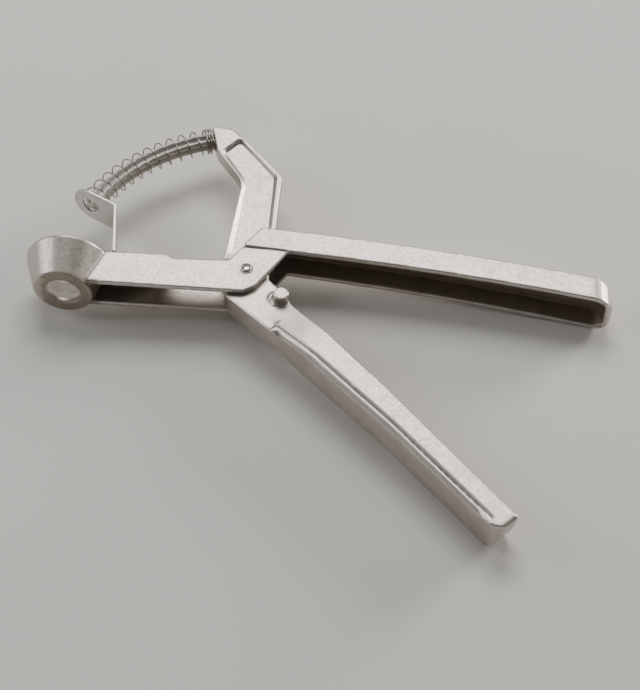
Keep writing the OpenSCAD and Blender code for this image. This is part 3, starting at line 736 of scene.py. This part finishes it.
class PITTER_OT_pin(bpy.types.Operator):
    """The pivot pin with its two domed ends"""

    bl_idname = "pitter.pin"
    bl_label = "Pivot pin"

    def execute(self, context):
        low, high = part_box("pivot_pin")
        piece = link("pivot-pin", revolve("pivot-pin", pin_profile((high.z - low.z) / 2 / MM)))
        mark_plain(piece.data)
        steel = metal("pin_steel", context.scene.pitter_steel.sheet, roughness=0.22, grain=0.2, wear=0.3, corner_shade=0.0)
        finish_piece(piece, steel, "body", "steel_parts", "pivot_pin")
        return {"FINISHED"}


class PITTER_OT_plunger(bpy.types.Operator):
    """The curved plunger with its four ribs"""

    bl_idname = "pitter.plunger"
    bl_label = "Plunger"

    def execute(self, context):
        radius = 2.9
        section = rib_section(radius, rib=1.9, fillet=0.28)
        mesh = plunger_mesh(section)
        piece = link("plunger-rod", mesh)
        depth = np.resize(np.linalg.norm(section, axis=1), len(mesh.vertices))
        # Low between the ribs and high at their tips, so that the material paints shade into the corners between the
        # ribs and wears the tips.
        store(mesh, "bend", np.clip(0.5 + (depth - 2.0) / radius * 0.6, 0, 1))
        steel = metal("rod_steel", context.scene.pitter_steel.rod, roughness=0.46, grain=0.5, wear=0.5, corner_shade=0.6,
                      fine_scale=2500.0)
        finish_piece(piece, steel, "lever", "steel_parts", "plunger")
        return {"FINISHED"}


class PITTER_OT_spring(bpy.types.Operator):
    """The return spring round the plunger, bent from the lever to the guide plate"""

    bl_idname = "pitter.spring"
    bl_label = "Return spring"

    def execute(self, context):
        steel, sides = context.scene.pitter_steel, 10
        wire = steel.wire_radius / MM
        line, along, angle, hubs = spring_line(wire, steel.coil_radius / MM)
        mesh = tube_mesh("return-spring", line, wire, sides, hubs)
        piece = link("spring-wire", mesh)
        mesh.materials.append(metal("spring_wire", steel.wire, roughness=0.25, grain=0.2, wear=0.0, corner_shade=0.0,
                                    fine_scale=3000.0))
        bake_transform(piece, "lever", "body", start=tuple(PIVOT + line[0] * MM), end=tuple(PIVOT + line[-1] * MM))
        # At the end of the travel the turns lie evenly between the arm and the plate.
        arm, plate = angle[0] + TRAVEL, angle[-1]
        squeezed = arm + (plate - arm) * along
        share = np.clip(1 - (squeezed - angle) / TRAVEL, 0, 1)
        store(mesh, "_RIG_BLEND", np.repeat(share, sides))
        mark_plain(mesh)
        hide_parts("return_spring")
        return {"FINISHED"}


class PITTER_OT_guide(bpy.types.Operator):
    """The bent guide plate with the eye that the plunger runs in"""

    bl_idname = "pitter.guide"
    bl_label = "Guide plate"

    def execute(self, context):
        piece = skin("guide_plate", "guide-plate", voxel=0.00016, passes=3)
        # The last share darkens the inside corners with painted shade.
        steel = metal("sheet_steel", context.scene.pitter_steel.sheet, roughness=0.36, grain=0.25, wear=0.5, corner_shade=0.5)
        finish_piece(piece, steel, "body", "steel_parts", "guide_plate")
        return {"FINISHED"}


class PITTER_OT_stage(bpy.types.Operator):
    """Floor, camera and soft studio lights"""

    bl_idname = "pitter.stage"
    bl_label = "Stage"

    def execute(self, context):
        stage = context.scene.pitter_stage
        floor = link("floor", floor_mesh(resting_points()))
        floor.data.materials.append(paper(stage.floor))
        camera()
        lights(stage.key)
        return {"FINISHED"}


# ---- stage --------------------------------------------------------------


def resting_points():
    """The lowest points of the cup and of both handles' ends, brought down so that nothing dips below their plane."""
    body = points_of(bpy.data.objects["body-casting"].data)
    lever = points_of(bpy.data.objects["lever-casting"].data)
    cup = body[body[:, 0] < -60 * MM]
    fixed_end = body[body[:, 0] > 80 * MM]
    moving_end = lever[lever[:, 1] < -60 * MM]
    touch = np.array([region[region[:, 2].argmin()] for region in (cup, fixed_end, moving_end)])
    above = plane_normal(touch)
    above /= above[2]
    touch[:, 2] += min(((np.vstack([body, lever]) - touch[0]) * above).sum(1).min(), 0)
    return touch


def plane_normal(touch):
    normal = unit(np.cross(touch[1] - touch[0], touch[2] - touch[0]))
    return normal * np.sign(normal[2])


def floor_mesh(touch, sink=2e-5):
    """The plane through three points, on a grid: z = z0 - (a (x - x0) + b (y - y0)) / c for its normal (a, b, c)."""
    a, b, c = plane_normal(touch)
    x, y = np.linspace(-1.6, 1.6, 33), np.linspace(-1.6, 2.2, 39)
    gx, gy = np.meshgrid(x, y, indexing="ij")
    gz = touch[0][2] - ((gx - touch[0][0]) * a + (gy - touch[0][1]) * b) / c - sink
    mesh = mesh_from("floor", np.stack([gx, gy, gz], -1).reshape(-1, 3), grid_faces(len(x), len(y))[:, ::-1])
    face_out(mesh)
    return mesh


def placed(side, up, back, place):
    """The matrix of an object whose own x, y and z point along side, up and back."""
    matrix = np.eye(4)
    matrix[:3] = np.stack([side, up, back, place], -1)
    return Matrix(matrix.tolist())


def camera(elevation=math.radians(54.2), roll=math.radians(2.0)):
    """The photograph's view: 54.2 degrees above the tool's middle plane, leaning 2 degrees, 788 mm away. The pivot's
    top stands at its own point of the picture."""
    forward = np.array([0, math.cos(elevation), -math.sin(elevation)])
    level, rise = np.array([1.0, 0, 0]), np.array([0, math.sin(elevation), math.cos(elevation)])
    right = math.cos(roll) * level + math.sin(roll) * rise
    up = -math.sin(roll) * level + math.cos(roll) * rise
    eye = -FOCAL / PIXELS_PER_MM * forward
    ray = forward + (right * (PIVOT_PIXEL[0] - PICTURE_MIDDLE[0]) - up * (PIVOT_PIXEL[1] - PICTURE_MIDDLE[1])) / FOCAL
    pivot_top, middle_height = 7.05, 11.0
    seen = eye + ray * (middle_height + pivot_top - eye[2]) / ray[2]
    place = eye + PIVOT / MM + [0, 0, pivot_top] - seen
    data = bpy.data.cameras.new("camera")
    data.sensor_fit = "HORIZONTAL"
    data.sensor_width = 36.0
    data.lens = data.sensor_width * FOCAL / PICTURE_WIDTH
    data.clip_start = 0.01
    data.clip_end = 20
    view = link("camera", data)
    view.matrix_world = placed(right, up, -forward, place * MM)
    bpy.context.scene.camera = view


def area_light(name, place, size, power, tint, aim=(0, 0, 0.01)):
    """A rectangular lamp at a place in metres, with its lit side towards the aim and its width level."""
    data = bpy.data.lights.new(name, "AREA")
    data.shape = "RECTANGLE"
    data.size, data.size_y = size
    data.energy = power
    data.color = tint
    back = unit(np.subtract(place, aim))
    side = unit(np.cross([0, 0, 1], back))
    link(name, data).matrix_world = placed(side, np.cross(back, side), back, place)


def lights(strength):
    """A wide soft light behind the tool that its upper faces mirror, a key from the upper right, a weak fill from the
    left, and a dim surround."""
    area_light("sky", (-0.05, 0.80, 1.10), (0.95, 0.65), 10.5 * strength, (1.0, 0.985, 0.965))
    area_light("key", (0.95, 0.70, 0.34), (0.40, 0.34), 11 * strength, (1.0, 0.975, 0.94))
    area_light("fill", (-0.80, 0.10, 0.45), (0.35, 0.50), 2.2 * strength, (0.94, 0.97, 1.0))
    world = bpy.data.worlds.new("surround")
    world.use_nodes = True
    surround = world.node_tree.nodes["Background"].inputs
    surround["Color"].default_value = (0.80, 0.79, 0.78, 1)
    surround["Strength"].default_value = 0.20
    bpy.context.scene.world = world


# ---- panel and registration ---------------------------------------------

STEPS = (PITTER_OT_castings, PITTER_OT_pin, PITTER_OT_plunger, PITTER_OT_spring, PITTER_OT_guide, PITTER_OT_stage)
GROUPS = (("pitter_castings", PitterCastings), ("pitter_steel", PitterSteel), ("pitter_stage", PitterStage))


class PITTER_PT_build(bpy.types.Panel):
    bl_idname = "PITTER_PT_build"
    bl_label = "Olive pitter"
    bl_space_type = "VIEW_3D"
    bl_region_type = "UI"
    bl_category = "Olive pitter"

    def draw(self, context):
        for step in STEPS:
            self.layout.operator(step.bl_idname)
        for name, group in GROUPS:
            box = self.layout.box()
            for prop in group.__annotations__:
                box.prop(getattr(context.scene, name), prop)


def register():
    for name, group in GROUPS:
        bpy.utils.register_class(group)
        setattr(bpy.types.Scene, name, bpy.props.PointerProperty(type=group))
    for step in STEPS:
        bpy.utils.register_class(step)
    bpy.utils.register_class(PITTER_PT_build)


def unregister():
    bpy.utils.unregister_class(PITTER_PT_build)
    for step in reversed(STEPS):
        bpy.utils.unregister_class(step)
    for name, group in reversed(GROUPS):
        delattr(bpy.types.Scene, name)
        bpy.utils.unregister_class(group)


def main():
    register()
    for step in STEPS:
        group, name = step.bl_idname.split(".")
        getattr(getattr(bpy.ops, group), name)()


if __name__ == "__main__":
    main()
